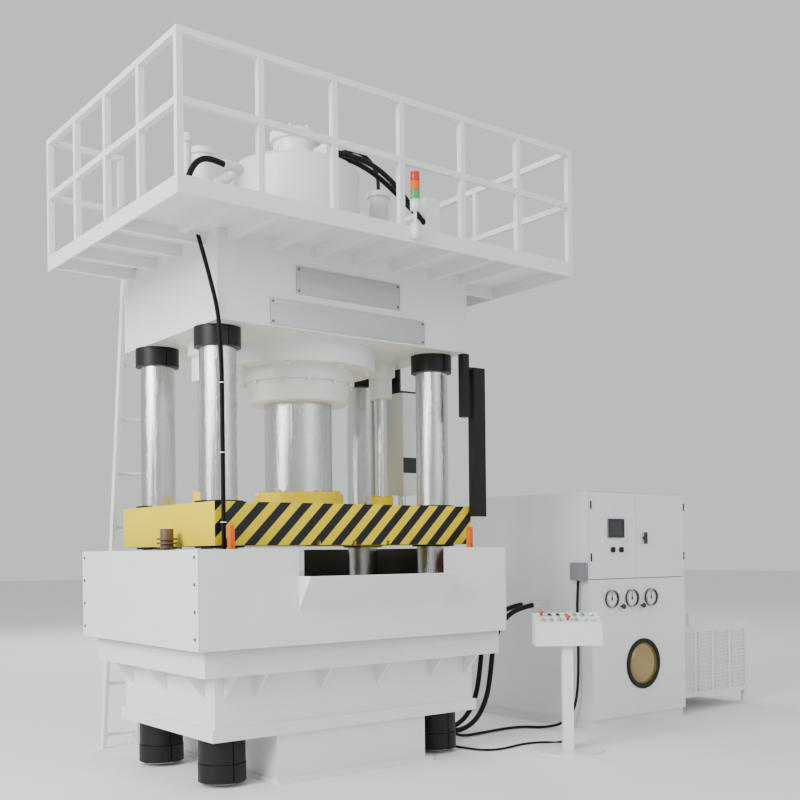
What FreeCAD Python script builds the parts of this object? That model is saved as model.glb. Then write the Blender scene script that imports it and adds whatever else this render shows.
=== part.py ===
import FreeCAD, Part
import math
import os

# Four-column hydraulic press with its work platform, power unit and operator's pedestal.
# Millimetres, +Z up, origin on the floor at the centre of the four columns, +X to the
# operator's right, +Y towards the back of the press.

V = FreeCAD.Vector
PARTS = "parts"
os.makedirs(PARTS, exist_ok=True)

# Columns and their nuts
COLUMN_X = 930.0
COLUMN_Y = 470.0
COLUMN_R = 125.0
COLUMN_BOTTOM = 20.0
COLUMN_TOP = 3800.0
NUT_R = 158.0
COLUMN_BOSS_R = 168.0   # wall tubes round the columns inside the bed and the slide
CROWN_BOSS_R = 135.0
FIT = 0.1            # running clearance, radial
EASY = 1.0           # clearance of fixed pieces on the columns

# Bed
BED_X = 1104.0
BED_Y = 709.0
BED_BOTTOM = 330.0
BED_TOP = 765.0
LIP_X = 28.0           # how far the bed rim stands out at the ends
LIP_Y = 20.0
RIM_TOP = 412.0
TABLE_X = 1253.0
TABLE_Y = 859.0
TABLE_TOP = 945.0
SLOT_END = 800.0     # T-slots stop short of the table edge
FOOT_X = 665.0
FOOT_Y = 767.0
LEG_X = 640.0
LEG_Y = 700.0
FOOT_PLATE = 28.0
BOLT_X = 500.0
BOLT_Y = 735.0
BOLT_HOLE_R = 14.0

# Crown, main cylinder and ram
CROWN_X = 1067.0
CROWN_Y = 737.0
CROWN_BOTTOM = 3069.0
CROWN_TOP = 3660.0
CYLINDER_R = 485.0
CYLINDER_TOP = 4450.0
CYLINDER_BORE = 300.0
FLANGE_R = 590.0
FLANGE_BOTTOM = 2915.0
GLAND_R = 430.0
GLAND_SHOULDER = 2820.0
GLAND_BOTTOM = 2670.0
RAM_R = 255.0
SIDE_X = 785.0       # return cylinders, left and right of the ram
SIDE_ROD_R = 50.0
LOCK_X = 1195.0      # slide lock, outside the right end of the slide
LOCK_Y = 260.0
LOCK_ROD_R = 34.0
LUG_TOP = 1680.0       # top of the slide lug that carries the lock rod

# Slide
SLIDE_X = 1100.0
SLIDE_Y = 725.0
SLIDE_BOTTOM = 1604.0
SLIDE_TOP = 1892.0
BUSH_RIM = 14.0        # rims of the guide bushes, above and below the slide

# Guard panels round the die space
GUARD_X0 = -1335.0
GUARD_X1 = 1256.0
GUARD_Y = 943.0
GUARD_TOP = 1578.0
SHEET = 6.0
OPENING_X0 = -600.0    # openings in the front and rear guards
OPENING_X1 = 640.0
SILL = 1180.0
HOPPER_OUT = 150.0     # the sloping lip below each opening
HOPPER_TOP = 1398.0
GUARD_REACH = 800.0    # inner edge of the flanges that rest on the table

# Platform and railing
DECK_X0 = -1676.0
DECK_X1 = 1517.0
DECK_Y0 = -1423.0
DECK_Y1 = 661.0
FASCIA_BOTTOM = 3578.0
DECK_TOP = 3682.0
RAIL_TOP = 4517.0
RAIL_MID = 4105.0
RAIL = 40.0

# Power unit
UNIT_X0 = 2511.0
UNIT_X1 = 3779.0
UNIT_Y0 = -675.0
UNIT_Y1 = 1500.0
TANK_TOP = 960.0
PANEL_TOP = 1290.0
UNIT_TOP = 2056.0
CABINET_BACK = -300.0
DOOR = 23.0
DOOR_SEAM = 3100.0

# Operator's pedestal
PEDESTAL_X = 1690.0
PEDESTAL_Y = -1160.0
PEDESTAL_TURN = -37.0


def box(x0, x1, y0, y1, z0, z1):
    return Part.makeBox(x1 - x0, y1 - y0, z1 - z0, V(x0, y0, z0))


def rod(x, y, z0, z1, r):
    return Part.makeCylinder(r, z1 - z0, V(x, y, z0))


def rod_y(x, z, y0, y1, r):
    return Part.makeCylinder(r, y1 - y0, V(x, y0, z), V(0, 1, 0))


def rod_x(y, z, x0, x1, r):
    return Part.makeCylinder(r, x1 - x0, V(x0, y, z), V(1, 0, 0))


def prism(points, extrude):
    face = Part.Face(Part.makePolygon(points + [points[0]]))
    return face.extrude(extrude)


def revolve(profile, x=0.0, y=0.0):
    """Turn a closed outline of (radius, height) points about the vertical through x, y."""
    points = [V(x + r, y, z) for r, z in profile]
    face = Part.Face(Part.makePolygon(points + [points[0]]))
    return face.revolve(V(x, y, 0), V(0, 0, 1), 360)


def column_places():
    return [(sx * COLUMN_X, sy * COLUMN_Y) for sy in (-1, 1) for sx in (-1, 1)]


def bolt_circle(x, y, radius, count, z0, z1, r, offset=0.0):
    places = []
    for i in range(count):
        a = math.radians(offset + 360.0 * i / count)
        places.append(rod(x + radius * math.cos(a), y + radius * math.sin(a), z0, z1, r))
    return places


def save(name, *solids):
    shape = solids[0] if len(solids) == 1 else Part.makeCompound(list(solids))
    shape.exportStep(os.path.join(PARTS, name + ".step"))


def cord(name, points, radius):
    """A round cord along straight runs joined by tangent arcs, printed with its radii."""
    corners = [V(*p) for p in points]
    edges = []
    radii = []
    start = corners[0]
    for before, here, after in zip(corners, corners[1:], corners[2:]):
        run_in = here - before
        run_out = after - here
        turn = run_in.getAngle(run_out)
        cut = 0.45 * min(run_in.Length, run_out.Length)
        bend = cut / math.tan(turn / 2)
        u = V(run_in).normalize()
        w = V(run_out).normalize()
        a = here - u * cut
        b = here + w * cut
        centre = here + (w - u).normalize() * (bend / math.cos(turn / 2))
        middle = centre + (here - centre).normalize() * bend
        edges.append(Part.LineSegment(start, a).toShape())
        edges.append(Part.Arc(a, middle, b).toShape())
        radii.append(bend)
        start = b
    edges.append(Part.LineSegment(start, corners[-1]).toShape())
    path = Part.Wire(edges)
    first = V(corners[1] - corners[0]).normalize()
    ring = Part.Wire(Part.makeCircle(radius, corners[0], first))
    tube = path.makePipeShell([ring], True, False)
    whole = math.pi * radius ** 2 * path.Length
    print(name, "length", round(path.Length), "radii", [round(r) for r in radii],
          "volume ratio", round(tube.Volume / whole, 4), tube.isValid())
    return tube


def make_bed():
    foot = box(-FOOT_X, FOOT_X, -FOOT_Y, FOOT_Y, 0, FOOT_PLATE)
    leg = box(-LEG_X, LEG_X, -LEG_Y, LEG_Y, FOOT_PLATE, BED_BOTTOM)
    wall = 30.0
    inside = box(-LEG_X + wall, LEG_X - wall, -LEG_Y + wall, LEG_Y - wall, FOOT_PLATE, BED_BOTTOM)
    ribs = [box(x - 12, x + 12, -LEG_Y + wall, LEG_Y - wall, FOOT_PLATE, BED_BOTTOM) for x in (-220, 220)]
    foot = foot.fuse([leg.cut(inside)] + ribs)
    holes = []
    for sx in (-1, 1):
        for sy in (-1, 1):
            holes.append(rod(sx * BOLT_X, sy * BOLT_Y, -1, FOOT_PLATE + 1, BOLT_HOLE_R))
    save("bed_foot", foot.cut(holes).removeSplitter())

    shell = box(-BED_X, BED_X, -BED_Y, BED_Y, BED_BOTTOM, BED_TOP)
    hollow = box(-BED_X + 40, BED_X - 40, -BED_Y + 40, BED_Y - 40, BED_BOTTOM + 30, BED_TOP - 40)
    lip = box(-BED_X - LIP_X, BED_X + LIP_X, -BED_Y - LIP_Y, BED_Y + LIP_Y, BED_BOTTOM, RIM_TOP)
    tubes = [rod(x, y, BED_BOTTOM, BED_TOP, COLUMN_BOSS_R) for x, y in column_places()]
    bed = shell.fuse(lip).cut(hollow).fuse(tubes)
    gussets = []
    for x in (-1030, -800, -290, 200, 690, 1030):
        for sy in (-1, 1):
            wedge = [V(x - 10, sy * BED_Y, 600), V(x - 10, sy * TABLE_Y, BED_TOP),
                     V(x - 10, sy * BED_Y, BED_TOP)]
            gussets.append(prism(wedge, V(20, 0, 0)))
    for y in (-560, 0, 560):
        for sx in (-1, 1):
            wedge = [V(sx * BED_X, y - 10, 600), V(sx * TABLE_X, y - 10, BED_TOP),
                     V(sx * BED_X, y - 10, BED_TOP)]
            gussets.append(prism(wedge, V(0, 20, 0)))
    bed = bed.fuse(gussets).cut([rod(x, y, 0, 1000, COLUMN_R + EASY) for x, y in column_places()])
    save("bed_box", bed.removeSplitter())

    table = box(-TABLE_X, TABLE_X, -TABLE_Y, TABLE_Y, BED_TOP, TABLE_TOP)
    cuts = [rod(x, y, 700, 1000, COLUMN_R + EASY) for x, y in column_places()]
    for x in (-450, -150, 150, 450):
        cuts.append(box(x - 14, x + 14, -SLOT_END, SLOT_END, TABLE_TOP - 48, TABLE_TOP + 1))
        cuts.append(box(x - 25, x + 25, -SLOT_END, SLOT_END, TABLE_TOP - 48, TABLE_TOP - 28))
    save("bed_table", table.cut(cuts).removeSplitter())


def split_nut(x, y, z0, z1, r):
    ring = rod(x, y, z0, z1, r).cut(rod(x, y, z0 - 1, z1 + 1, COLUMN_R + EASY))
    slot = box(x - 4, x + 4, y - r - 5, y + r + 5, z0 - 1, z1 + 1)
    return ring.cut(slot).Solids


def make_columns():
    save("columns", *[rod(x, y, COLUMN_BOTTOM, COLUMN_TOP, COLUMN_R) for x, y in column_places()])
    nuts = []
    for x, y in column_places():
        nuts += split_nut(x, y, 30, 152, NUT_R + 4)
        nuts += split_nut(x, y, 156, BED_BOTTOM, NUT_R)
        nuts += split_nut(x, y, 2935, CROWN_BOTTOM, NUT_R)
        nuts += split_nut(x, y, DECK_TOP - 20, DECK_TOP + 110, NUT_R - 9)
    save("column_nuts", *nuts)


def make_crown():
    block = box(-CROWN_X, CROWN_X, -CROWN_Y, CROWN_Y, CROWN_BOTTOM, CROWN_TOP)
    hollow = box(-CROWN_X + 45, CROWN_X - 45, -CROWN_Y + 45, CROWN_Y - 45, CROWN_BOTTOM + 60, CROWN_TOP - 50)
    tubes = [rod(x, y, CROWN_BOTTOM, CROWN_TOP, CROWN_BOSS_R) for x, y in column_places()]
    tubes.append(rod(0, 0, CROWN_BOTTOM, CROWN_TOP, CYLINDER_R + 50))
    tubes += [rod(s * SIDE_X, 0, CROWN_BOTTOM, CROWN_TOP, 130) for s in (-1, 1)]
    crown = block.cut(hollow).fuse(tubes)
    holes = [rod(x, y, 3000, 3700, COLUMN_R + EASY) for x, y in column_places()]
    holes.append(rod(0, 0, 3000, 3700, CYLINDER_R + EASY))
    holes += [rod(s * SIDE_X, 0, 3000, 3700, 84) for s in (-1, 1)]
    save("crown", crown.cut(holes).removeSplitter())
    plates = [box(-470, 415, -CROWN_Y - 8, -CROWN_Y, 3312, 3500),
              box(-678, 645, -CROWN_Y - 8, -CROWN_Y, 3084, 3257)]
    save("name_plates", *plates)


def make_cylinders():
    profile = [(CYLINDER_BORE, FLANGE_BOTTOM), (FLANGE_R, FLANGE_BOTTOM), (FLANGE_R, CROWN_BOTTOM),
               (CYLINDER_R, CROWN_BOTTOM), (CYLINDER_R, CYLINDER_TOP - 30), (CYLINDER_R - 30, CYLINDER_TOP),
               (0, CYLINDER_TOP), (0, CYLINDER_TOP - 120), (CYLINDER_BORE, CYLINDER_TOP - 120)]
    save("main_cylinder", revolve(profile))
    inner = RAM_R + FIT
    gland = [(inner, GLAND_BOTTOM), (365, GLAND_BOTTOM), (375, GLAND_BOTTOM + 10), (398, GLAND_SHOULDER),
             (GLAND_R, GLAND_SHOULDER), (GLAND_R, FLANGE_BOTTOM), (inner, FLANGE_BOTTOM)]
    save("cylinder_gland", revolve(gland))
    bolts = bolt_circle(0, 0, 520, 8, FLANGE_BOTTOM - 26, FLANGE_BOTTOM, 20, 5)
    bolts += bolt_circle(0, 0, 414, 12, GLAND_SHOULDER - 22, GLAND_SHOULDER, 13, 9)
    bolts += bolt_circle(0, 0, 165, 8, 4730, 4752, 12)
    save("cylinder_bolts", *bolts)
    valve = revolve([(0, CYLINDER_TOP), (250, CYLINDER_TOP), (250, 4490), (165, 4500), (165, 4660),
                     (190, 4665), (190, 4730), (0, 4730)])
    save("prefill_valve", valve)
    sides = []
    for s in (-1, 1):
        x = s * SIDE_X
        sides.append(revolve([(SIDE_ROD_R + FIT, 2780), (92, 2780), (92, 2950), (118, 2960),
                              (118, CROWN_BOTTOM),
                              (83, CROWN_BOTTOM), (83, 4400), (100, 4400), (100, 4440), (0, 4440), (0, 4390),
                              (70, 4390), (70, 2880), (SIDE_ROD_R + FIT, 2880)], x, 0))
    save("return_cylinders", *sides)


def make_slide():
    block = box(-SLIDE_X, SLIDE_X, -SLIDE_Y, SLIDE_Y, SLIDE_BOTTOM, SLIDE_TOP)
    hollow = box(-SLIDE_X + 40, SLIDE_X - 40, -SLIDE_Y + 40, SLIDE_Y - 40, SLIDE_BOTTOM + 50, SLIDE_TOP - 50)
    core = [rod(x, y, SLIDE_BOTTOM, SLIDE_TOP, COLUMN_BOSS_R) for x, y in column_places()]
    core.append(rod(0, 0, SLIDE_BOTTOM, SLIDE_TOP, 340))
    core.append(box(SLIDE_X, LOCK_X + 40, LOCK_Y - 40, LOCK_Y + 40, LUG_TOP - 40, LUG_TOP))
    holes = [rod(x, y, 1500, 2000, 141) for x, y in column_places()]
    for x in (-300, 0, 300):
        holes.append(box(x - 14, x + 14, -SLIDE_Y - 1, SLIDE_Y + 1, SLIDE_BOTTOM - 1, SLIDE_BOTTOM + 30))
    save("slide", block.cut(hollow).fuse(core).cut(holes).removeSplitter())

    ram = revolve([(0, SLIDE_TOP), (RAM_R, SLIDE_TOP), (RAM_R, 3450), (CYLINDER_BORE - FIT, 3450),
                   (CYLINDER_BORE - FIT, 3600), (0, 3600)])
    save("ram", ram)
    rods = []
    for s in (-1, 1):
        rods.append(revolve([(0, SLIDE_TOP), (SIDE_ROD_R, SLIDE_TOP), (SIDE_ROD_R, 3400), (69.9, 3400),
                             (69.9, 3460), (0, 3460)], s * SIDE_X, 0))
    rods.append(rod(LOCK_X, LOCK_Y, LUG_TOP, 2440, LOCK_ROD_R))
    save("return_rods", *rods)

    top = SLIDE_TOP + 105
    ram_bore = RAM_R + EASY
    collars = [revolve([(ram_bore, SLIDE_TOP), (338, SLIDE_TOP), (338, top - 8), (330, top),
                        (ram_bore, top)])]
    rod_bore = SIDE_ROD_R + EASY
    top = SLIDE_TOP + 100
    for s in (-1, 1):
        flange = [(rod_bore, SLIDE_TOP), (95, SLIDE_TOP), (95, top), (rod_bore, top)]
        collars.append(revolve(flange, s * SIDE_X, 0))
    bush_bore = COLUMN_R + FIT
    low = SLIDE_BOTTOM - BUSH_RIM
    top = SLIDE_TOP + BUSH_RIM
    for x, y in column_places():
        collars.append(revolve([(bush_bore, low), (165, low), (165, SLIDE_BOTTOM), (140, SLIDE_BOTTOM),
                                (140, SLIDE_TOP), (165, SLIDE_TOP), (165, top), (bush_bore, top)], x, y))
    save("slide_collars", *collars)


def make_press_fittings():
    bore = rod(LOCK_X, LOCK_Y, 2000, 2800, LOCK_ROD_R + FIT)
    body = box(1112, 1285, LOCK_Y - 130, LOCK_Y + 130, 2030, 2880).cut(bore)
    y0, y1 = LOCK_Y - 110, LOCK_Y + 110
    shelf = box(1092, 1285, y0, y1, 2880, 2900)
    strap = box(1092, 1110, y0, y1, 2900, 3300)
    spacer = box(CROWN_X, 1092, y0, y1, 3100, 3300)
    save("slide_lock", body, shelf, strap, spacer)
    low = TABLE_TOP + SHEET
    save("light_curtains", *[box(x - 16, x + 16, -850, -810, low, 1735) for x in (-1040, 992)])
    short_bar = box(975, 1033, -800, -740, 2570, 3050)
    arm = box(1033, 1070, -800, -740, 2930, 2952)
    long_bar = box(1070, 1185, -810, -740, 1815, 2952)
    save("position_switches", short_bar, arm, long_bar)
    ribs = [rod(-1200, -230, z, z + 12, 68) for z in (1590, 1619, 1648)]
    post = rod(-1200, -230, TABLE_TOP, 1590, 24).fuse(rod(-1200, -230, 1590, 1722, 45)).fuse(ribs)
    save("buffer_post", post.removeSplitter())


def guard_wall(s):
    """Plates of the front (s = -1) or rear (s = 1) guard, with its opening, sloping lip and cheeks."""
    x0, x1 = GUARD_X0 + SHEET + 1, GUARD_X1 - SHEET - 1
    face = s * GUARD_Y
    wall = sorted((face, s * (GUARD_Y - SHEET)))
    inner = sorted((s * (GUARD_Y - SHEET), s * GUARD_REACH))
    out = s * (GUARD_Y + HOPPER_OUT)
    side0, side1 = OPENING_X0 - SHEET, OPENING_X1
    plates = [box(x0, x1, *wall, TABLE_TOP, SILL),
              box(x0, OPENING_X0, *wall, SILL, GUARD_TOP),
              box(OPENING_X1, x1, *wall, SILL, GUARD_TOP),
              box(x0, x1, *inner, TABLE_TOP, TABLE_TOP + SHEET)]
    slope = [V(side0, face, SILL - 8), V(side0, out, HOPPER_TOP - 8), V(side0, out, HOPPER_TOP),
             V(side0, face, SILL)]
    plates.append(prism(slope, V(side1 + SHEET - side0, 0, 0)))
    for x in (side0, side1):
        cheek = [V(x, face, SILL), V(x, out, HOPPER_TOP), V(x, face, HOPPER_TOP)]
        plates.append(prism(cheek, V(SHEET, 0, 0)))
    return plates


def make_guards():
    reach = GUARD_REACH - 1
    left, right = GUARD_X0 + SHEET, GUARD_X1 - SHEET
    for name, wall_x, foot_x in (("guard_left", (GUARD_X0, left), (left, left + 100)),
                                 ("guard_right", (right, GUARD_X1), (right - 60, right))):
        save(name, box(*wall_x, -GUARD_Y, GUARD_Y, TABLE_TOP, GUARD_TOP),
             box(*foot_x, -reach, reach, TABLE_TOP, TABLE_TOP + SHEET))
    save("guard_front", *guard_wall(-1))
    save("guard_rear", *guard_wall(1))


def make_platform():
    sheet = box(DECK_X0, DECK_X1, DECK_Y0, DECK_Y1, DECK_TOP - 22, DECK_TOP)
    holes = [rod(x, y, 3600, 3700, NUT_R + 6) for x, y in column_places()]
    holes.append(rod(0, 0, 3600, 3700, CYLINDER_R + 6))
    holes += [rod(s * SIDE_X, 0, 3600, 3700, 108) for s in (-1, 1)]
    top = DECK_TOP - 22
    deck = [sheet.cut(holes), box(DECK_X0, DECK_X0 + 12, DECK_Y0, DECK_Y1, FASCIA_BOTTOM, top),
            box(DECK_X1 - 12, DECK_X1, DECK_Y0, DECK_Y1, FASCIA_BOTTOM, top),
            box(DECK_X0 + 12, DECK_X1 - 12, DECK_Y0, DECK_Y0 + 12, FASCIA_BOTTOM, top)]

    joists = []
    low = FASCIA_BOTTOM + 4
    for x in (-1310, -980, -630, -290, 30, 380, 740, 1030):
        channel = box(x - 22, x + 22, DECK_Y0 + 12, -CROWN_Y, low, top)
        joists.append(channel.cut(box(x - 14, x + 23, DECK_Y0, -CROWN_Y + 1, low + 8, top - 8)))
    for y in (-560, -200, 200, 560):
        for x0, x1 in ((DECK_X0 + 12, -CROWN_X), (CROWN_X, DECK_X1 - 12)):
            channel = box(x0, x1, y - 22, y + 22, low, top)
            joists.append(channel.cut(box(x0 - 1, x1 + 1, y - 14, y + 23, low + 8, top - 8)))
    save("platform_deck", *deck, *joists)


def rail_side(a, b, count, gap=None):
    """Posts from a to b, both ends in, with a mid rail in each bay but the gap's."""
    solids = []
    places = [(a[0] + (b[0] - a[0]) * i / count, a[1] + (b[1] - a[1]) * i / count) for i in range(count + 1)]
    h = RAIL / 2
    for i, (x, y) in enumerate(places):
        if i < count:
            solids.append(box(x - h, x + h, y - h, y + h, DECK_TOP, RAIL_TOP - RAIL))
        if i < count and i != gap:
            nx, ny = places[i + 1]
            if abs(nx - x) > abs(ny - y):
                mid = box(min(x, nx) + h, max(x, nx) - h, y - h, y + h, RAIL_MID - h, RAIL_MID + h)
            else:
                mid = box(x - h, x + h, min(y, ny) + h, max(y, ny) - h, RAIL_MID - h, RAIL_MID + h)
            solids.append(mid)
    return solids


def make_railing():
    h = RAIL / 2
    x0, x1, y0, y1 = DECK_X0 + h, DECK_X1 - h, DECK_Y0 + h, DECK_Y1 - h
    solids = rail_side((x0, y0), (x1, y0), 6)
    solids += rail_side((x1, y0), (x1, y1), 4)
    solids += rail_side((x1, y1), (x0, y1), 6, 4)
    solids += rail_side((x0, y1), (x0, y0), 4)
    top = RAIL_TOP - RAIL
    solids.append(box(x0 - h, x1 + h, y0 - h, y0 + h, top, RAIL_TOP))
    solids.append(box(x0 - h, x0 + h, y0 + h, y1 + h, top, RAIL_TOP))
    solids.append(box(x1 - h, x1 + h, y0 + h, y1 + h, top, RAIL_TOP))
    bay = (x1 - x0) / 6
    solids.append(box(x0 + h, x0 + bay + h, y1 - h, y1 + h, top, RAIL_TOP))
    solids.append(box(x0 + 2 * bay - h, x1 - h, y1 - h, y1 + h, top, RAIL_TOP))
    save("railing", *solids)


def make_ladder():
    foot_y = 1335.0
    head_y = 810.0
    head_z = 3760.0
    x_in = (-1030.0, -750.0)
    solids = []
    for x in x_in:
        outline = [V(x - 15, foot_y - 28, 0), V(x - 15, foot_y + 28, 0),
                   V(x - 15, head_y + 28, head_z), V(x - 15, head_y - 28, head_z)]
        solids.append(prism(outline, V(30, 0, 0)))
        solids.append(box(x - 15, x + 15, DECK_Y1, head_y - 14, DECK_TOP - 20, DECK_TOP))
    for i in range(9):
        z = 110 + 415.0 * i
        y = foot_y + (head_y - foot_y) * z / head_z
        solids.append(rod_x(y, z, x_in[0] + 15, x_in[1] - 15, 15))
    save("ladder", *solids)


def make_top():
    pipe = cord("left pipe", [(-SIDE_X, -84, 4140), (-SIDE_X, -580, 4140), (-925, -580, 4140)], 34)
    riser = rod(-1120, -420, DECK_TOP, 4330, 34).fuse(rod(-1120, -420, 4290, 4345, 46))
    block = box(1030, 1170, -310, -180, DECK_TOP, 4380)
    start = box(0, 80, -425, -255, CYLINDER_TOP, 4550)
    save("top_pipes", pipe, riser, block, start)
    pole = box(-32, 52, -1455, DECK_Y0, 3600, 3700).fuse(rod(10, -1440, 3700, 3783, 12))
    pole = pole.fuse(rod(10, -1440, 3783, 3855, 33)).removeSplitter()
    lenses = [rod(10, -1440, z, z + 60, 33) for z in (3855, 3916, 3977)]
    save("stack_light", pole, *lenses)


def make_cords():
    save("hose_top_front", cord("hose_top_front", [
        (80, -390, 4505), (250, -400, 4512), (430, -405, 4480), (600, -385, 4420), (750, -350, 4345),
        (890, -312, 4262), (1030, -280, 4180)], 20))
    save("hose_top_rear", cord("hose_top_rear", [
        (80, -300, 4505), (250, -305, 4522), (430, -300, 4495), (600, -285, 4440), (750, -265, 4375),
        (890, -243, 4305), (1030, -220, 4242)], 20))
    save("hose_top_valve", cord("hose_top_valve", [
        (166, -10, 4590), (297, -14, 4628), (434, -16, 4700), (566, -14, 4732), (685, -8, 4700),
        (764, -3, 4620), (787, 0, 4530), (SIDE_X, 0, 4441)], 15))
    save("hose_top_left", cord("hose_top_left", [
        (-925, -580, 4140), (-1030, -588, 4158), (-1125, -598, 4123), (-1188, -606, 4034),
        (-1222, -611, 3920),
        (-1234, -610, 3800), (-1230, -608, DECK_TOP)], 20))
    cables = []
    for dx, dy in ((0, 0), (18, 5)):
        cables.append(cord("column_cable", [
            (-1228 + dx, -772 + dy, 3575), (-1160 + dx, -766 + dy, 3370), (-1088 + dx, -764 + dy, 3120),
            (-1066 + dx, -764 + dy, 2800), (-1064 + dx, -766 + dy, TABLE_TOP)], 8))
    save("column_cable", *cables)
    for name, dy in (("hose_floor_front", -70), ("hose_floor_rear", 70)):
        save(name, cord(name, [
            (2400, dy, 1060), (2200, dy + 5, 1035), (2020, dy, 925), (1915, dy - 5, 730), (1888, dy, 500),
            (1850, dy + 5, 290), (1730, dy, 110), (1540, dy - 5, 32), (1360, dy, 62), (1230, dy + 4, 190),
            (BED_X + LIP_X, dy, 352)], 22))
    save("cable_cabinet", cord("cable_cabinet", [
        (2472, -560, 1286), (2458, -555, 1080), (2464, -560, 850), (2452, -572, 600), (2440, -574, 370),
        (2412, -560, 180), (2345, -490, 60), (2270, -350, 15), (2180, -200, 14), (2050, -150, 14),
        (1850, -158, 14), (1620, -190, 15), (1420, -205, 16), (1280, -205, 90), (1190, -202, 215),
        (BED_X + LIP_X, -200, 355)], 12))
    save("cable_pedestal", cord("cable_pedestal", [
        (1715, -1127, 60), (1768, -1058, 56), (1815, -985, 34), (1830, -905, 12), (1785, -825, 10),
        (1690, -775, 10), (1560, -765, 10), (1400, -800, 10), (1270, -808, 10), (1175, -745, 10),
        (1140, -630, 10), (1122, -480, 10), (1115, -330, 10), (1050, -200, 10), (920, -120, 12),
        (780, -95, 24), (641, -90, 50)], 9))


def shell_box(x0, x1, y0, y1, z0, z1, wall):
    outer = box(x0, x1, y0, y1, z0, z1)
    return outer.cut(box(x0 + wall, x1 - wall, y0 + wall, y1 - wall, z0 + wall, z1 - wall))


def make_power_unit():
    tank = shell_box(UNIT_X0, UNIT_X1, UNIT_Y0, UNIT_Y1, 80, TANK_TOP, 10)
    plinth = box(UNIT_X0 + 15, UNIT_X1 - 15, UNIT_Y0 + 20, UNIT_Y1 - 20, 0, 80)
    front = shell_box(UNIT_X0, UNIT_X1, UNIT_Y0, CABINET_BACK, TANK_TOP, PANEL_TOP, 10)
    stubs = [rod_x(y, 1060, 2400, UNIT_X0, 36) for y in (-70, 70)]
    save("oil_tank", tank.fuse(plinth).removeSplitter())
    hood = shell_box(UNIT_X0, UNIT_X1, CABINET_BACK, UNIT_Y1, TANK_TOP, UNIT_TOP, 10)
    save("pump_hood", hood.fuse([front] + stubs).removeSplitter())

    wall = 4.0
    cabinet = box(UNIT_X0, UNIT_X1, UNIT_Y0 + DOOR + 2, CABINET_BACK, PANEL_TOP, UNIT_TOP)
    room = box(UNIT_X0 + wall, UNIT_X1 - wall, UNIT_Y0, CABINET_BACK - wall, PANEL_TOP + wall,
               UNIT_TOP - wall)
    save("control_cabinet", cabinet.cut(room))
    z0, z1 = PANEL_TOP + 8, UNIT_TOP - 8
    save("cabinet_door_left", box(UNIT_X0 + 4, DOOR_SEAM - 2, UNIT_Y0, UNIT_Y0 + DOOR, z0, z1))
    save("cabinet_door_right", box(DOOR_SEAM + 2, UNIT_X1 - 4, UNIT_Y0, UNIT_Y0 + DOOR, z0, z1))
    save("operator_screen", box(2720, 2927, UNIT_Y0 - 14, UNIT_Y0, 1653, 1818))
    gap = 0.3
    for name, x in (("selector_left", 2785), ("selector_right", 2895)):
        knob = rod_y(x, 1548, UNIT_Y0 - 14 - gap, UNIT_Y0 - gap, 25)
        grip = box(x - 6, x + 6, UNIT_Y0 - 32, UNIT_Y0 - 14 - gap, 1526, 1570)
        save(name, knob.fuse(grip))
    spindle = rod_y(3204, 1650, UNIT_Y0 - 20, UNIT_Y0 - gap, 14)
    save("door_handle", box(3188, 3220, UNIT_Y0 - 34, UNIT_Y0 - 20, 1598, 1702).fuse(spindle))

    cups = []
    for i, x in enumerate((2760, 3025, 3285)):
        z = 1120
        cup = rod_y(x, z, UNIT_Y0 - 32, UNIT_Y0, 78).cut(rod_y(x, z, UNIT_Y0 - 33, UNIT_Y0 - 8, 71))
        cups.append(cup.fuse(rod_y(x, z, UNIT_Y0 - 22, UNIT_Y0 - 8, 3)))
        tip = [V(x - 4, UNIT_Y0 - 18, z), V(x, UNIT_Y0 - 18, z + 58), V(x + 4, UNIT_Y0 - 18, z)]
        tail = box(x - 3, x + 3, UNIT_Y0 - 18, UNIT_Y0 - 15, z - 20, z)
        pointer = prism(tip, V(0, 3, 0)).fuse([tail, rod_y(x, z, UNIT_Y0 - 19, UNIT_Y0 - 14, 8)])
        pin_hole = rod_y(x, z, UNIT_Y0 - 30, UNIT_Y0, 3.05)
        save("gauge_pointer_%d" % (i + 1), pointer.cut(pin_hole).removeSplitter())
    save("gauges", *cups)
    for i, x in enumerate((2892, 3160)):
        stem = rod_y(x, 1050, UNIT_Y0 - 24, UNIT_Y0 - gap, 8)
        save("valve_knob_%d" % (i + 1), rod_y(x, 1050, UNIT_Y0 - 44, UNIT_Y0 - 24, 22).fuse(stem))
    ring = rod_y(3180, 530, UNIT_Y0 - 16, UNIT_Y0, 225).cut(rod_y(3180, 530, UNIT_Y0 - 17, UNIT_Y0, 188))
    glass = rod_y(3180, 530, UNIT_Y0 - 8, UNIT_Y0, 187.5)
    save("sight_window", ring, glass)
    save("cable_plug", box(2440, UNIT_X0, -640, -492, 1286, 1440))

    cooler = shell_box(UNIT_X1 + 12, 4930, -560, 340, 135, 820, 3)
    legs = [box(x, x + 40, y, y + 40, 0, 135) for x in (UNIT_X1 + 20, 4882) for y in (-552, 292)]
    bracket = box(3950, 4020, -590, -560, 820, 940)
    save("oil_cooler", cooler, *legs, bracket, box(3950, 4020, -560, -540, 820, 824))


def turned(shape):
    """Place a shape modelled about the pedestal's own axis."""
    shape = shape.copy()
    shape.rotate(V(0, 0, 0), V(0, 0, 1), PEDESTAL_TURN)
    shape.translate(V(PEDESTAL_X, PEDESTAL_Y, 0))
    return shape


def on_slope(shape, x, along):
    """Stand a shape on the sloping panel, its foot at z = 0, at x and a distance up the slope."""
    slope = math.atan2(70.0, 190.0)
    shape = shape.copy()
    shape.rotate(V(0, 0, 0), V(1, 0, 0), math.degrees(slope))
    shape.translate(V(x, -95 + along * math.cos(slope), 990 + along * math.sin(slope)))
    return turned(shape)


def mushroom(r):
    return rod(0, 0, 6.3, 26, 11).fuse(rod(0, 0, 26, 40, r))


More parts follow.
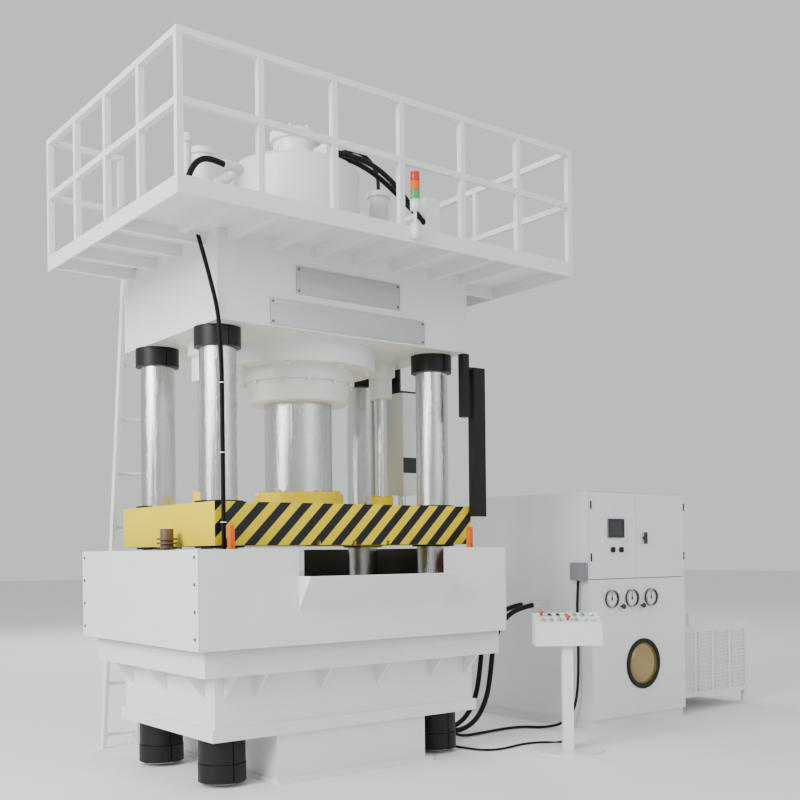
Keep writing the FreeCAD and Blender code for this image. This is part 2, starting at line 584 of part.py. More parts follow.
def make_pedestal():
    base = rod(0, 0, 0, 14, 265)
    post = box(-40, 40, -40, 40, 14, 817)
    case = prism([V(-255, -95, 817), V(-255, -95, 990), V(-255, 95, 1060), V(-255, 95, 817)], V(510, 0, 0))
    save("pedestal", turned(base), turned(post), turned(case))
    fixed = []
    for row, along in ((0, 56.0), (1, 146.0)):
        for i in range(7):
            x = -192 + 64 * i
            if (row, i) in ((1, 0), (0, 3)):
                continue
            fixed.append(on_slope(rod(0, 0, 0, 8, 20).fuse(rod(0, 0, 8, 19, 15)), x, along))
    save("pedestal_buttons", *fixed)
    save("emergency_stop_rear", on_slope(mushroom(22), -192, 146.0))
    save("emergency_stop_front", on_slope(mushroom(22), 0, 56.0))


make_bed()
make_columns()
make_crown()
make_cylinders()
make_slide()
make_press_fittings()
make_guards()
make_platform()
make_railing()
make_ladder()
make_top()
make_cords()
make_power_unit()
make_pedestal()
print(len(os.listdir(PARTS)), "nodes")
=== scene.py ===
# %% [markdown]
# A four-column hydraulic press, finished in Blender around its CAD frame.
# The frame brings every load-bearing piece at its real size, in metres, with the origin on
# the floor between the columns. This lesson adds cords, dials, lamps, louvres and paint.

# %% Load the frame and keep its box
import bpy
import bmesh
import numpy as np
from mathutils import Matrix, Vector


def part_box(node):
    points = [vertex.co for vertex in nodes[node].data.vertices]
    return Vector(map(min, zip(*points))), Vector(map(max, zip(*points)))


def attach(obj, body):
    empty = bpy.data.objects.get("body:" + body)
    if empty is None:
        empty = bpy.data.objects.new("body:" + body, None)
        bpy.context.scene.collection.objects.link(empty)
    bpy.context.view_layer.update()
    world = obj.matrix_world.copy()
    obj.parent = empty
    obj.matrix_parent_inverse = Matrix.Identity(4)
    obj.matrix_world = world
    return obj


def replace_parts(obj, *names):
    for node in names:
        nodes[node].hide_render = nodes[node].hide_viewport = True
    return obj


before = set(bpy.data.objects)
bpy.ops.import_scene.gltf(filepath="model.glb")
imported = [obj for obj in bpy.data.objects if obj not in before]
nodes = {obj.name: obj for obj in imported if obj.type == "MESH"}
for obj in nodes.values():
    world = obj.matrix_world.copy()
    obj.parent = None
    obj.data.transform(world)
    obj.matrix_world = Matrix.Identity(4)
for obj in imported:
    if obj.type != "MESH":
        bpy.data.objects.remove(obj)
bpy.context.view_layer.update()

# %% [markdown]
# The camera stands at eye height, level, and looks up only by a vertical lens shift, as a
# view camera does, so the columns stay parallel. Tilting it would make them lean together.

# %% Camera
EYE = (-4.336, -6.860, 1.549)
HEADING = 0.658
ROLL = -0.011
camera_data = bpy.data.cameras.new("camera")
camera_data.lens = 47.73
camera_data.sensor_width = 36.0
camera_data.shift_y = 0.190
camera = bpy.data.objects.new("camera", camera_data)
turn = Matrix.Rotation(-HEADING, 4, "Z") @ Matrix.Rotation(np.pi / 2, 4, "X") @ Matrix.Rotation(ROLL, 4, "Z")
camera.matrix_world = Matrix.Translation(EYE) @ turn
bpy.context.scene.collection.objects.link(camera)
bpy.context.scene.camera = camera
print("lens", camera_data.lens)

# %% [markdown]
# Studio light for white paint: a large key on the left makes the side faces brightest, and a
# weaker one in front keeps the faces readable. A pale world fills the shadows.

# %% Lights, world and floor
def area_light(name, place, target, size, power):
    """A square lamp at a place, turned to face a target."""
    data = bpy.data.lights.new(name, "AREA")
    data.size = size
    data.energy = power
    lamp = bpy.data.objects.new(name, data)
    aim = Matrix.Translation(place).to_translation() - Matrix.Translation(target).to_translation()
    lamp.matrix_world = Matrix.Translation(place) @ aim.to_track_quat("Z", "Y").to_matrix().to_4x4()
    bpy.context.scene.collection.objects.link(lamp)

area_light("key", (-13.0, -3.0, 8.0), (0, 0, 2.2), 8.0, 3000)
area_light("fill", (3.0, -14.0, 7.0), (1.0, 0, 2.0), 9.0, 420)
area_light("back", (4.0, 12.0, 9.0), (1.0, 0, 2.0), 8.0, 900)
world = bpy.data.worlds.new("studio")
world.use_nodes = True
world.node_tree.nodes["Background"].inputs["Color"].default_value = (0.93, 0.95, 0.97, 1)
world.node_tree.nodes["Background"].inputs["Strength"].default_value = 0.80
bpy.context.scene.world = world
floor_mesh = bpy.data.meshes.new("floor")
floor_mesh.from_pydata([(-60, -60, 0), (60, -60, 0), (60, 60, 0), (-60, 60, 0)], [], [(0, 1, 2, 3)])
floor = bpy.data.objects.new("floor", floor_mesh)
bpy.context.scene.collection.objects.link(floor)

# %% [markdown]
# Every finish here is a Principled shader fed by noise in Object coordinates. Noise varies
# the colour a little, the roughness a little more, and lifts a fine bump, which is what
# separates enamel, rubber or ground chrome from a flat colour. On the chrome the colour noise
# runs in strong vertical streaks, which are painted reflection; its bump is real.

# %% A general finish
def finish(name, colour, roughness, metallic=0.0, grain=(8, 8, 8), tint=0.06, bump=0.05, coat=0.0, shine=0.5):
    """Colour = base mixed with a darker base by noise; roughness and height follow finer noise."""
    material = bpy.data.materials.new(name)
    material.use_nodes = True
    tree = material.node_tree
    shader = tree.nodes["Principled BSDF"]
    shader.inputs["Metallic"].default_value = metallic
    shader.inputs["Coat Weight"].default_value = coat
    shader.inputs["Specular IOR Level"].default_value = shine
    place = tree.nodes.new("ShaderNodeTexCoord")
    scale = tree.nodes.new("ShaderNodeMapping")
    scale.inputs["Scale"].default_value = grain
    tree.links.new(place.outputs["Object"], scale.inputs["Vector"])
    broad = tree.nodes.new("ShaderNodeTexNoise")
    broad.inputs["Scale"].default_value = 0.5
    broad.inputs["Detail"].default_value = 6
    fine = tree.nodes.new("ShaderNodeTexNoise")
    fine.inputs["Scale"].default_value = 30
    fine.inputs["Detail"].default_value = 3
    for noise in (broad, fine):
        tree.links.new(scale.outputs["Vector"], noise.inputs["Vector"])
    mix = tree.nodes.new("ShaderNodeMix")
    mix.data_type = "RGBA"
    mix.inputs["A"].default_value = (*colour, 1)
    mix.inputs["B"].default_value = (*[c * (1 - 3 * tint) for c in colour], 1)
    tree.links.new(broad.outputs["Fac"], mix.inputs["Factor"])
    tree.links.new(mix.outputs["Result"], shader.inputs["Base Color"])
    rough = tree.nodes.new("ShaderNodeMapRange")
    rough.inputs["To Min"].default_value = max(0.02, roughness - 0.08)
    rough.inputs["To Max"].default_value = roughness + 0.10
    tree.links.new(broad.outputs["Fac"], rough.inputs["Value"])
    tree.links.new(rough.outputs["Result"], shader.inputs["Roughness"])
    lift = tree.nodes.new("ShaderNodeBump")
    lift.inputs["Strength"].default_value = bump
    lift.inputs["Distance"].default_value = 0.002
    tree.links.new(fine.outputs["Fac"], lift.inputs["Height"])
    tree.links.new(lift.outputs["Normal"], shader.inputs["Normal"])
    return material

def dress(material, *names):
    """Put a material in every slot of the named CAD nodes."""
    for name in names:
        node = nodes[name]
        if not node.material_slots:
            node.data.materials.append(material)
        for held in node.material_slots:
            held.material = material

ENAMEL = (0.78, 0.80, 0.80)
WHITE = finish("white_enamel", ENAMEL, 0.42, tint=0.035, bump=0.08, coat=0.15)
# Ground chrome: the dark vertical streaks in its colour are painted streaks of reflection; the bump streaks
# the real reflections.
CHROME = finish("ground_chrome", (0.80, 0.81, 0.81), 0.12, 1.0, grain=(26, 26, 0.35), tint=0.16, bump=0.5)
BLACK = finish("black_oxide", (0.009, 0.010, 0.011), 0.45, tint=0.1, bump=0.12, shine=0.25)
RUBBER = finish("hose_rubber", (0.008, 0.008, 0.009), 0.55, tint=0.12, bump=0.2, shine=0.2)
STEEL = finish("milled_steel", (0.20, 0.21, 0.21), 0.42, 0.9, grain=(60, 4, 8), tint=0.1, bump=0.1)
PLASTIC = finish("black_plastic", (0.02, 0.02, 0.022), 0.35, tint=0.1, bump=0.1)
GREY = finish("grey_plastic", (0.22, 0.23, 0.24), 0.45, tint=0.08, bump=0.1)
SILVER = finish("satin_plate", (0.55, 0.56, 0.57), 0.35, 0.8, grain=(3, 8, 60), tint=0.08, bump=0.05)
RED = finish("red_plastic", (0.62, 0.012, 0.012), 0.25, tint=0.05, coat=0.4)
GREEN = finish("green_plastic", (0.02, 0.40, 0.10), 0.25, tint=0.05, coat=0.4)
ORANGE = finish("orange_plastic", (0.86, 0.15, 0.0), 0.34, tint=0.05, shine=0.25)
DIAL = finish("dial_white", (0.88, 0.88, 0.85), 0.5, tint=0.02, bump=0.02)
BRONZE = finish("brown_primer", (0.16, 0.09, 0.06), 0.5, 0.2, tint=0.12, bump=0.15)
AMBER = finish("amber_window", (0.36, 0.24, 0.05), 0.12, tint=0.16, grain=(6, 6, 6), coat=0.8)
YELLOW = (0.86, 0.66, 0.0)
for name in nodes:
    dress(WHITE, name)
dress(CHROME, "columns", "ram", "return_rods")
dress(BLACK, "column_nuts", "position_switches")
dress(ORANGE, "light_curtains")
dress(BRONZE, "buffer_post")
dress(RUBBER, "column_cable")
dress(GREY, "cable_plug", "operator_screen")
dress(PLASTIC, "gauges", "door_handle", "selector_left", "selector_right")
dress(PLASTIC, "gauge_pointer_1", "gauge_pointer_2", "gauge_pointer_3")
dress(AMBER, "sight_window")
dress(SILVER, "name_plates")
print(len(bpy.data.materials), "materials")

# %% [markdown]
# Some nodes carry two colours. A mask worked out from Object coordinates says where the second
# goes, so no decal or UV is needed and the edge of the colour stays put on the metal. The dark
# inside of the guards is painted shade; the other second colours are real paint.

# %% Second colours
def maths(tree, kind, a, b=None):
    """One step of arithmetic on shader values; a plain number is written into its socket."""
    step = tree.nodes.new("ShaderNodeMath")
    step.operation = kind
    for i, value in enumerate((a, b)):
        if isinstance(value, float):
            step.inputs[i].default_value = value
        elif value is not None:
            tree.links.new(value, step.inputs[i])
    return step.outputs["Value"]

def overpaint(material, colour, mask):
    """Lay a colour over a finish where mask(tree, x, y, z) is one."""
    tree = material.node_tree
    shader = tree.nodes["Principled BSDF"]
    under = shader.inputs["Base Color"].links[0].from_socket
    place = tree.nodes.new("ShaderNodeTexCoord")
    axes = tree.nodes.new("ShaderNodeSeparateXYZ")
    tree.links.new(place.outputs["Object"], axes.inputs["Vector"])
    mix = tree.nodes.new("ShaderNodeMix")
    mix.data_type = "RGBA"
    mix.inputs["B"].default_value = (*colour, 1)
    tree.links.new(mask(tree, *axes.outputs), mix.inputs["Factor"])
    tree.links.new(under, mix.inputs["A"])
    tree.links.new(mix.outputs["Result"], shader.inputs["Base Color"])
    return material

def between(tree, value, low, high):
    """One where low < value < high."""
    above = maths(tree, "GREATER_THAN", value, low)
    return maths(tree, "MULTIPLY", above, maths(tree, "LESS_THAN", value, high))

def hazard_stripes(tree, x, y, z):
    """(x - z) / 0.172 past one half, on the long faces, and nowhere else."""
    lean = maths(tree, "DIVIDE", maths(tree, "SUBTRACT", x, z), 0.172)
    stripe = maths(tree, "GREATER_THAN", maths(tree, "FRACT", lean), 0.5)
    face = maths(tree, "GREATER_THAN", maths(tree, "ABSOLUTE", y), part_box("slide")[1][1] - 0.0005)
    return maths(tree, "MULTIPLY", stripe, face)

def bush_rims(tree, x, y, z):
    """The guide bushes stand far from the centre line, the ram and rod flanges on it."""
    return maths(tree, "GREATER_THAN", maths(tree, "ABSOLUTE", y), 0.345)

def lock_bands(tree, x, y, z):
    """A band on the front face, and everything above the housing."""
    front = maths(tree, "LESS_THAN", y, 0.1305)
    band = maths(tree, "MULTIPLY", front, between(tree, z, 2.21, 2.34))
    return maths(tree, "MAXIMUM", band, maths(tree, "GREATER_THAN", z, 2.8802))

def guard_inside_shade_mask(tree, x, y, z):
    """Everything inside the outer faces of the four guards, painted dark as shade."""
    return maths(tree, "MULTIPLY", between(tree, x, -1.3345, 1.2555), between(tree, y, -0.9425, 0.9425))

DARK = (0.008, 0.009, 0.010)
dress(overpaint(finish("hazard_yellow", YELLOW, 0.36, tint=0.04, shine=0.3), DARK, hazard_stripes), "slide")
# Near black painted inside the guards: painted shade where the hollow of the guards is dark.
PAINTED_SHADE = (0.03, 0.03, 0.03)
collar_paint = finish("collar_yellow", YELLOW, 0.36, tint=0.04, shine=0.3)
dress(overpaint(collar_paint, DARK, bush_rims), "slide_collars")
lock_paint = finish("lock_enamel", ENAMEL, 0.42, tint=0.035, bump=0.08)
dress(overpaint(lock_paint, DARK, lock_bands), "slide_lock")
guard_paint = finish("enamel_painted_shade", ENAMEL, 0.42, tint=0.035, bump=0.08)
guards_painted_shade = overpaint(guard_paint, PAINTED_SHADE, guard_inside_shade_mask)
dress(guards_painted_shade, "guard_front", "guard_rear", "guard_left", "guard_right")

# %% [markdown]
# Hoses and cables: each is one smooth NURBS line through a few listed points, with a
# round bevel. A polygon of straight runs would look like bent wire.

# %% Cords
def cord_piece(name, points, radius):
    """An order-3 curve with the points as its control points, as thick as the cord."""
    data = bpy.data.curves.new(name, "CURVE")
    data.dimensions = "3D"
    data.bevel_depth = radius
    data.bevel_resolution = 5
    data.resolution_u = 10
    data.use_fill_caps = True
    line = data.splines.new("NURBS")
    line.points.add(len(points) - 1)
    for point, place in zip(line.points, points):
        point.co = (*place, 1.0)
    line.order_u = 3
    line.use_endpoint_u = True
    data.materials.append(RUBBER)
    piece = bpy.data.objects.new(name + "_smooth", data)
    bpy.context.scene.collection.objects.link(piece)
    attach(piece, "frame")
    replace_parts(piece, name)

cord_piece("hose_top_front", [
    (0.080, -0.390, 4.505), (0.250, -0.400, 4.512), (0.430, -0.405, 4.480), (0.600, -0.385, 4.420),
    (0.750, -0.350, 4.345), (0.890, -0.312, 4.262), (1.030, -0.280, 4.180)], 0.020)
cord_piece("hose_top_rear", [
    (0.080, -0.300, 4.505), (0.250, -0.305, 4.522), (0.430, -0.300, 4.495), (0.600, -0.285, 4.440),
    (0.750, -0.265, 4.375), (0.890, -0.243, 4.305), (1.030, -0.220, 4.242)], 0.020)
cord_piece("hose_top_valve", [
    (0.166, -0.010, 4.590), (0.297, -0.014, 4.628), (0.434, -0.016, 4.700), (0.566, -0.014, 4.732),
    (0.685, -0.008, 4.700), (0.764, -0.003, 4.620), (0.787, 0.0, 4.530), (0.785, 0.0, 4.441)],
    0.015)
cord_piece("hose_top_left", [
    (-0.925, -0.580, 4.140), (-1.030, -0.588, 4.158), (-1.125, -0.598, 4.123), (-1.188, -0.606, 4.034),
    (-1.222, -0.611, 3.920), (-1.234, -0.610, 3.800), (-1.230, -0.608, 3.682)], 0.020)
for name, y in (("hose_floor_front", -0.070), ("hose_floor_rear", 0.070)):
    cord_piece(name, [
        (2.400, y, 1.060), (2.200, y + 0.005, 1.035), (2.020, y, 0.925), (1.915, y - 0.005, 0.730),
        (1.888, y, 0.500), (1.850, y + 0.005, 0.290), (1.730, y, 0.110), (1.540, y - 0.005, 0.032),
        (1.360, y, 0.062), (1.230, y + 0.004, 0.190), (1.132, y, 0.352)], 0.022)
cord_piece("cable_cabinet", [
    (2.472, -0.560, 1.286), (2.458, -0.555, 1.080), (2.464, -0.560, 0.850), (2.452, -0.572, 0.600),
    (2.440, -0.574, 0.370), (2.412, -0.560, 0.180), (2.345, -0.490, 0.060), (2.270, -0.350, 0.015),
    (2.180, -0.200, 0.014), (2.050, -0.150, 0.014), (1.850, -0.158, 0.014), (1.620, -0.190, 0.015),
    (1.420, -0.205, 0.016), (1.280, -0.205, 0.090), (1.190, -0.202, 0.215), (1.132, -0.200, 0.355)],
    0.012)
cord_piece("cable_pedestal", [
    (1.715, -1.127, 0.060), (1.768, -1.058, 0.056), (1.815, -0.985, 0.034), (1.830, -0.905, 0.012),
    (1.785, -0.825, 0.010), (1.690, -0.775, 0.010), (1.560, -0.765, 0.010), (1.400, -0.800, 0.010),
    (1.270, -0.808, 0.010), (1.175, -0.745, 0.010), (1.140, -0.630, 0.010), (1.122, -0.480, 0.010),
    (1.115, -0.330, 0.010), (1.050, -0.200, 0.010), (0.920, -0.120, 0.012), (0.780, -0.095, 0.024),
    (0.641, -0.090, 0.050)], 0.009)

# %% [markdown]
# Small turned and pressed pieces are grids of points worked out with numpy: one direction
# runs along a profile, the other round an axis. Whole arrays go to the mesh at once.

# %% Surface helpers
def turned(profile, sides=32, lobes=0, depth=0.0):
    """Point = (r cos a, r sin a, h), with r scaled by 1 + depth cos(lobes a) for a gripped rim."""
    profile = np.array(profile, float)
    angle = np.linspace(0, 2 * np.pi, sides, endpoint=False)
    r = profile[:, 0][:, None] * (1 + depth * np.cos(lobes * angle))[None, :]
    h = np.repeat(profile[:, 1][:, None], sides, axis=1)
    points = np.stack([r * np.cos(angle), r * np.sin(angle), h], axis=-1).reshape(-1, 3)
    i, j = np.meshgrid(np.arange(len(profile) - 1), np.arange(sides), indexing="ij")
    k = (j + 1) % sides
    faces = np.stack([i * sides + j, i * sides + k, (i + 1) * sides + k, (i + 1) * sides + j], axis=-1)
    return points, faces.reshape(-1, 4)

def along(shape, place, axis):
    """Stand a shape's own Z along an axis: world = place + x u + y w + z axis."""
    points, faces = shape
    n = np.array(axis, float) / np.linalg.norm(axis)
    side = np.cross([0.0, 0.0, 1.0] if abs(n[2]) < 0.9 else [0.0, 1.0, 0.0], n)
    side /= np.linalg.norm(side)
    return np.array(place) + points @ np.stack([side, np.cross(n, side), n]), faces

def joined(shapes):
    """One pair of arrays from many, with each shape's face numbers moved on."""
    starts = np.cumsum([0] + [len(p) for p, _ in shapes[:-1]])
    faces = [f + s for (_, f), s in zip(shapes, starts)]
    return np.concatenate([p for p, _ in shapes]), np.concatenate(faces)

def piece(name, shape, material, body, slot, smooth=True):
    """A mesh piece with merged poles and outward faces, riding on a body."""
    points, faces = shape
    mesh = bpy.data.meshes.new(name)
    mesh.from_pydata(points.tolist(), [], faces.tolist())
    work = bmesh.new()
    work.from_mesh(mesh)
    bmesh.ops.remove_doubles(work, verts=work.verts, dist=0.00002)
    bmesh.ops.recalc_face_normals(work, faces=work.faces)
    work.to_mesh(mesh)
    work.free()
    mesh.polygons.foreach_set("use_smooth", [smooth] * len(mesh.polygons))
    mesh.materials.append(material)
    made = bpy.data.objects.new(name, mesh)
    bpy.context.scene.collection.objects.link(made)
    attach(made, body)
    print(name, len(mesh.polygons), "faces")
    return made

def slab(low, high):
    """The six faces of a plain plate between two corners."""
    low, high = np.array(low, float), np.array(high, float)
    pick = np.array([(i & 1, i >> 1 & 1, i >> 2 & 1) for i in range(8)])
    faces = [(0, 1, 3, 2), (4, 5, 7, 6), (0, 1, 5, 4), (2, 3, 7, 6), (0, 2, 6, 4), (1, 3, 7, 5)]
    return np.where(pick, high, low), np.array(faces)

def border(x0, x1, z0, z1, face_y, width, proud):
    """Four strips round a rectangle on a front face, standing proud of it."""
    y0 = face_y - proud
    return [slab((x0, y0, z0), (x1, face_y, z0 + width)), slab((x0, y0, z1 - width), (x1, face_y, z1)),
            slab((x0, y0, z0 + width), (x0 + width, face_y, z1 - width)),
            slab((x1 - width, y0, z0 + width), (x1, face_y, z1 - width))]

def dome(r, h):
    """A button head: a straight wall, a rounded shoulder and a shallow crown."""
    bend = np.linspace(0, np.pi / 2, 6)
    edge = 0.2 * r
    shoulder = [(r - edge + edge * np.cos(b), h - edge + edge * np.sin(b)) for b in bend]
    return [(0, 0), (r, 0)] + shoulder + [(0.4 * r, h + 0.05 * r), (0, h + 0.07 * r)]

# %% [markdown]
# The stack light: three ribbed lenses on a turned base. The ribs of the real lens are moulded
# rings, so each lens profile is a small wave of radius against height.

# %% Stack light
light_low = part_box("stack_light")[0]
LIGHT_XY = (0.010, -1.440)
pole = joined([along(turned([(0, 0), (0.03, 0), (0.03, 0.10), (0.011, 0.103), (0.011, 0.183), (0.033, 0.186),
                             (0.033, 0.253), (0, 0.253)]), (*LIGHT_XY, light_low[2]), (0, 0, 1))])
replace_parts(piece("stack_light_pole", pole, WHITE, "frame", "white_paint"), "stack_light")
for colour, material, z in (("green", GREEN, 3.855), ("orange", ORANGE, 3.916), ("red", RED, 3.977)):
    height = np.linspace(0.001, 0.058, 40)
    wave = 0.0312 + 0.0010 * np.cos(2 * np.pi * height / 0.006)
    profile = [(0, 0)] + list(zip(wave, height)) + [(0, 0.059)]
    lens = along(turned(profile, 40), (*LIGHT_XY, z), (0, 0, 1))
    piece("lens_" + colour, lens, material, "frame", "lamp_plastic")

# %% [markdown]
# Pressure gauges: dial, rim and tick marks. The ticks are real thin bars laid round
# three quarters of a circle, so they stay sharp at any distance.

# %% Gauges
GAUGES = ((2.760, 1.120), (3.025, 1.120), (3.285, 1.120))
FACE_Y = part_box("gauges")[1][1]
dials, rims, ticks = [], [], []
for x, z in GAUGES:
    dial = turned([(0, 0), (0.0695, 0), (0.0695, 0.001), (0, 0.001)], 64)
    dials.append(along(dial, (x, FACE_Y - 0.0085, z), (0, -1, 0)))
    rim = turned([(0.071, 0.024), (0.0785, 0.020), (0.0785, 0.031), (0.0765, 0.0325),
                  (0.0715, 0.0325), (0.071, 0.024)], 64)
    rims.append(along(rim, (x, FACE_Y, z), (0, -1, 0)))
    for step in range(28):
        a = np.radians(-135 + 10 * step)
        out = np.array([np.sin(a), 0, np.cos(a)])
        across = np.array([np.cos(a), 0, -np.sin(a)]) * (0.0010 if step % 3 else 0.0018)
        near, far = (0.056, 0.065) if step % 3 else (0.050, 0.065)
        middle = np.array([x, FACE_Y - 0.0099, z])
        corners = np.array([middle + out * near - across, middle + out * far - across,
                            middle + out * far + across, middle + out * near + across])
        bar = np.concatenate([corners, corners - [0, 0.0004, 0]])
        sides = np.array([(0, 1, 2, 3), (4, 5, 6, 7), (0, 1, 5, 4), (1, 2, 6, 5), (2, 3, 7, 6), (3, 0, 4, 7)])
        ticks.append((bar, sides))
piece("gauge_dials", joined(dials), DIAL, "frame", "gauge_steel", False)
piece("gauge_rims", joined(rims), SILVER, "frame", "gauge_steel")
piece("gauge_ticks", joined(ticks), PLASTIC, "frame", "black_plastic", False)

# %% [markdown]
# Round hand knobs have a lobed rim to grip. Their outline is a circle with a small cosine.

# %% Valve knobs and emergency stops
for i, x in enumerate((2.892, 3.160)):
    shape = turned([(0, 0.001), (0.008, 0.001), (0.008, 0.024), (0.0208, 0.0245), (0.0214, 0.028),
                    (0.0214, 0.040), (0.018, 0.0438), (0, 0.0435)], 72, 8, 0.025)
    knob = piece("knob_%d_lobed" % (i + 1), along(shape, (x, FACE_Y, 1.050), (0, -1, 0)), PLASTIC,
                 "knob_%d" % (i + 1), "black_plastic")
    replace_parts(knob, "valve_knob_%d" % (i + 1))

# %% [markdown]
# The operator's box slopes towards its user. A small function turns a place on the slope into
# a place in the room, so every button uses two plain numbers.

# %% Pedestal buttons
TURN = np.radians(-37)
SLOPE = np.arctan2(70.0, 190.0)

def on_slope(x, reach, height):
    """Place = pedestal + turn(x, front edge + reach cos s - height sin s), and its height is the
    top edge + reach sin s + height cos s."""
    y = -0.095 + reach * np.cos(SLOPE) - height * np.sin(SLOPE)
    z = 0.990 + reach * np.sin(SLOPE) + height * np.cos(SLOPE)
    return (1.690 + x * np.cos(TURN) - y * np.sin(TURN), -1.160 + x * np.sin(TURN) + y * np.cos(TURN), z)

NORMAL = np.array(on_slope(0, 0, 1)) - np.array(on_slope(0, 0, 0))
BACK_ROW = (None, PLASTIC, PLASTIC, RED, GREEN, GREEN, DIAL)
FRONT_ROW = (SILVER, SILVER, SILVER, None, SILVER, DIAL, DIAL)
bezels = []
for row, reach, colours in (("front", 0.056, FRONT_ROW), ("rear", 0.146, BACK_ROW)):
    for i, material in enumerate(colours):
        x = -0.192 + 0.064 * i
        if material is None:
            continue
        bezels.append(along(turned([(0, 0), (0.0195, 0), (0.0195, 0.005), (0.018, 0.0075), (0, 0.0075)], 32),
                            on_slope(x, reach, 0), NORMAL))
        head = along(turned(dome(0.0145, 0.0175)), on_slope(x, reach, 0), NORMAL)
        piece("button_%s_%d" % (row, i + 1), head, material, "frame", "button_plastic")
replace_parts(piece("button_bezels", joined(bezels), SILVER, "frame", "button_plastic"), "pedestal_buttons")
for name, x, reach in (("rear", -0.192, 0.146), ("front", 0.0, 0.056)):
    head = [(0, 0.0065), (0.0108, 0.0065), (0.0108, 0.026), (0.020, 0.0275), (0.0218, 0.031), (0.0212, 0.035),
            (0.015, 0.0388), (0, 0.0398)]
    stop = piece("stop_%s_mushroom" % name, along(turned(head, 40), on_slope(x, reach, 0), NORMAL), RED,
                 "stop_" + name, "red_plastic")
    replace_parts(stop, "emergency_stop_" + name)

# %% [markdown]
# Louvres on the oil cooler are pressed out of its sheet: each is a low half-round hood. One
# hood is a small grid, repeated in columns on the front and side.

# %% Louvres
def hood(width, height, depth):
    """Point = (x, height s, depth sin(pi s) (1 - x^4)) over a back that dips a tenth as far inward."""
    u, s = np.meshgrid(np.linspace(-1, 1, 9), np.linspace(0, 1, 5), indexing="ij")
    swell = depth * np.sin(np.pi * s) * (1 - u ** 4)
    sheets = [np.stack([u * width / 2, height * s, part * swell], axis=-1).reshape(-1, 3)
              for part in (1, -0.1)]
    i, j = np.meshgrid(np.arange(8), np.arange(4), indexing="ij")
    faces = np.stack([i * 5 + j, (i + 1) * 5 + j, (i + 1) * 5 + j + 1, i * 5 + j + 1], axis=-1).reshape(-1, 4)
    return np.concatenate(sheets), np.concatenate([faces, faces[:, ::-1] + len(sheets[0])])

hoods = []
base_points, base_faces = hood(0.22, 0.024, 0.012)
for column in range(4):
    for row in range(16):
        x = 3.960 + 0.268 * column
        z = 0.185 + 0.036 * row
        front = np.stack([x + base_points[:, 0], -0.560 - base_points[:, 2], z + base_points[:, 1]], axis=-1)
        hoods.append((front, base_faces))
        rear = np.stack([x + base_points[:, 0], 0.340 + base_points[:, 2], z + base_points[:, 1]], axis=-1)
        hoods.append((rear, base_faces))
piece("cooler_louvres", joined(hoods), WHITE, "frame", "white_paint")

# %% [markdown]
# The oil window: a black bolted ring round amber glass with a faint crown.

# %% Oil window
WINDOW = (3.180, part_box("sight_window")[1][1], 0.530)
ring_outline = [(0.186, 0), (0.224, 0), (0.224, 0.013), (0.220, 0.0158), (0.192, 0.0158), (0.186, 0.012),
                (0.186, 0)]
ring = along(turned(ring_outline, 96), WINDOW, (0, -1, 0))
bolts = []
for a in np.arange(12) * np.pi / 6:
    spot = (WINDOW[0] + 0.206 * np.cos(a), WINDOW[1] - 0.0115, WINDOW[2] + 0.206 * np.sin(a))
    bolts.append(along(turned(dome(0.007, 0.0045), 12), spot, (0, -1, 0)))
glass_outline = [(0, 0), (0.187, 0), (0.187, 0.007), (0.12, 0.009), (0, 0.0098)]
glass = along(turned(glass_outline, 96), WINDOW, (0, -1, 0))
piece("window_ring", joined([ring] + bolts), BLACK, "frame", "amber_glass")
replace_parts(piece("window_glass", glass, AMBER, "frame", "amber_glass"), "sight_window")

# %% [markdown]
# Fasteners and ties carry the scale of a large machine: rows of small domed heads along the
# guards and the name plates, and white ties round the cables.

# %% Fasteners
heads = []
for z in (1.02, 1.19, 1.36, 1.53):
    for y in (-0.90, 0.90):
        heads.append(along(turned(dome(0.011, 0.006), 12), (-1.335, y, z), (-1, 0, 0)))
        heads.append(along(turned(dome(0.011, 0.006), 12), (1.256, y, z), (1, 0, 0)))
piece("guard_screws", joined(heads), STEEL, "frame", "black_steel")
PLATES = ((-0.470, 0.415, 3.312, 3.500), (-0.678, 0.645, 3.084, 3.257))
PLATE_FACE = -0.745
plate_screws = []
for x0, x1, z0, z1 in PLATES:
    for x in (x0 + 0.02, x1 - 0.02):
        for z in (z0 + 0.02, z1 - 0.02):
            plate_screws.append(along(turned(dome(0.009, 0.005), 12), (x, PLATE_FACE, z), (0, -1, 0)))
piece("plate_screws", joined(plate_screws), STEEL, "frame", "plate")

# %% [markdown]
# The flanges on the slide are bolted down, and their bolts ride up and down with it.

# %% Flange bolts
def ring_of(count, radius, centre, head, axis=(0, 0, 1)):
    """The same head at equal steps round a circle."""
    steps = np.arange(count) * 2 * np.pi / count
    x, y, z = centre
    return [along(head, (x + radius * np.cos(a), y + radius * np.sin(a), z), axis) for a in steps]

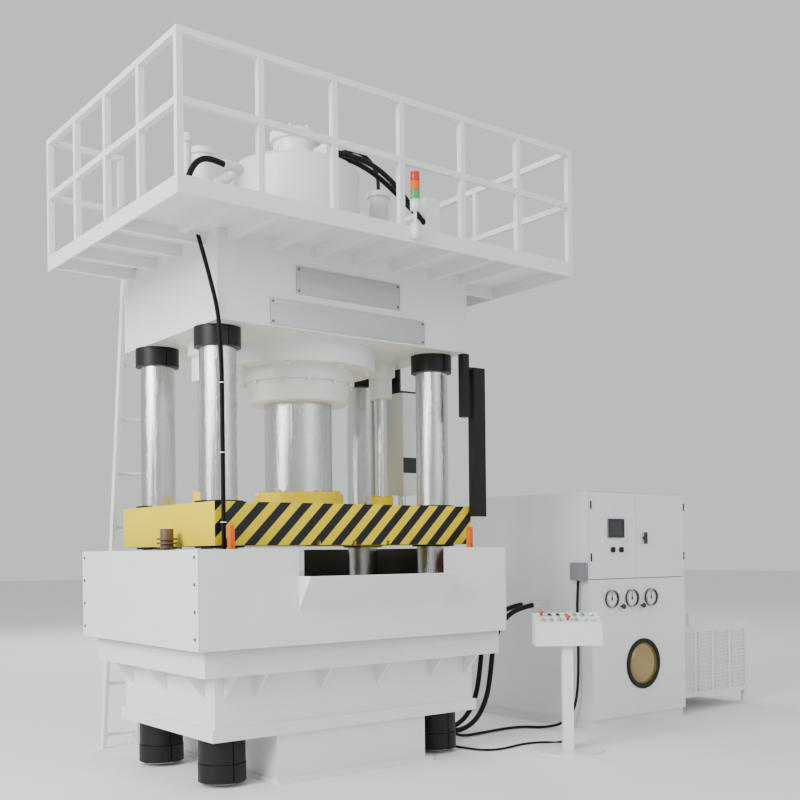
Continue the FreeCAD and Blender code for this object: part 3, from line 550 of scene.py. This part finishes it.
flange_bolts = ring_of(12, 0.300, (0, 0, 1.997), turned(dome(0.016, 0.020), 12))
for x in (-0.785, 0.785):
    flange_bolts += ring_of(8, 0.076, (x, 0, 1.992), turned(dome(0.010, 0.013), 12))
BOLT_YELLOW = finish("bolt_yellow", YELLOW, 0.4, tint=0.05, shine=0.3)
piece("flange_bolts", joined(flange_bolts), BOLT_YELLOW, "slide", "yellow_paint")

# %% [markdown]
# Plates, screen and doors: borders round the bare name plates, a bezel and dark glass on the
# operator's screen, and two hinge barrels on each cabinet door, turned about the line it swings on.

# %% Plates, screen and hinges
borders = []
for plate in PLATES:
    borders += border(*plate, PLATE_FACE, 0.006, 0.002)
piece("plate_borders", joined(borders), SILVER, "frame", "plate", False)
screen_low, screen_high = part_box("operator_screen")
x0, x1, z0, z1 = screen_low[0], screen_high[0], screen_low[2], screen_high[2]
bezel = joined(border(x0, x1, z0, z1, screen_low[1], 0.020, 0.004))
piece("screen_bezel", bezel, PLASTIC, "door_left", "black_plastic", False)
GLASS = finish("screen_glass", (0.010, 0.014, 0.020), 0.08, tint=0.1, coat=0.6)
pane = slab((x0 + 0.021, screen_low[1] - 0.0015, z0 + 0.021),
            (x1 - 0.021, screen_low[1] + 0.0005, z1 - 0.021))
piece("screen_pane", pane, GLASS, "door_left", "black_plastic", False)
for side, x in (("left", 2.515), ("right", 3.775)):
    barrel = turned([(0, 0), (0.007, 0), (0.007, 0.070), (0, 0.070)], 16)
    pair = [along(barrel, (x, -0.675, z), (0, 0, 1)) for z in (1.45, 1.90)]
    piece("hinge_barrels_" + side, joined(pair), BLACK, "door_" + side, "black_steel")

# %% [markdown]
# White ties hold the two cables to each other down the column.

# %% Cable ties
ties = []
for z in (1.30, 1.75, 2.20, 2.65):
    ring = turned([(0.0185, 0), (0.0205, 0), (0.0205, 0.006), (0.0185, 0.006), (0.0185, 0)], 24)
    ties.append(along(ring, (-1.056, -0.7625, z), (0, 0, 1)))
piece("cable_ties", joined(ties), DIAL, "frame", "white_paint")
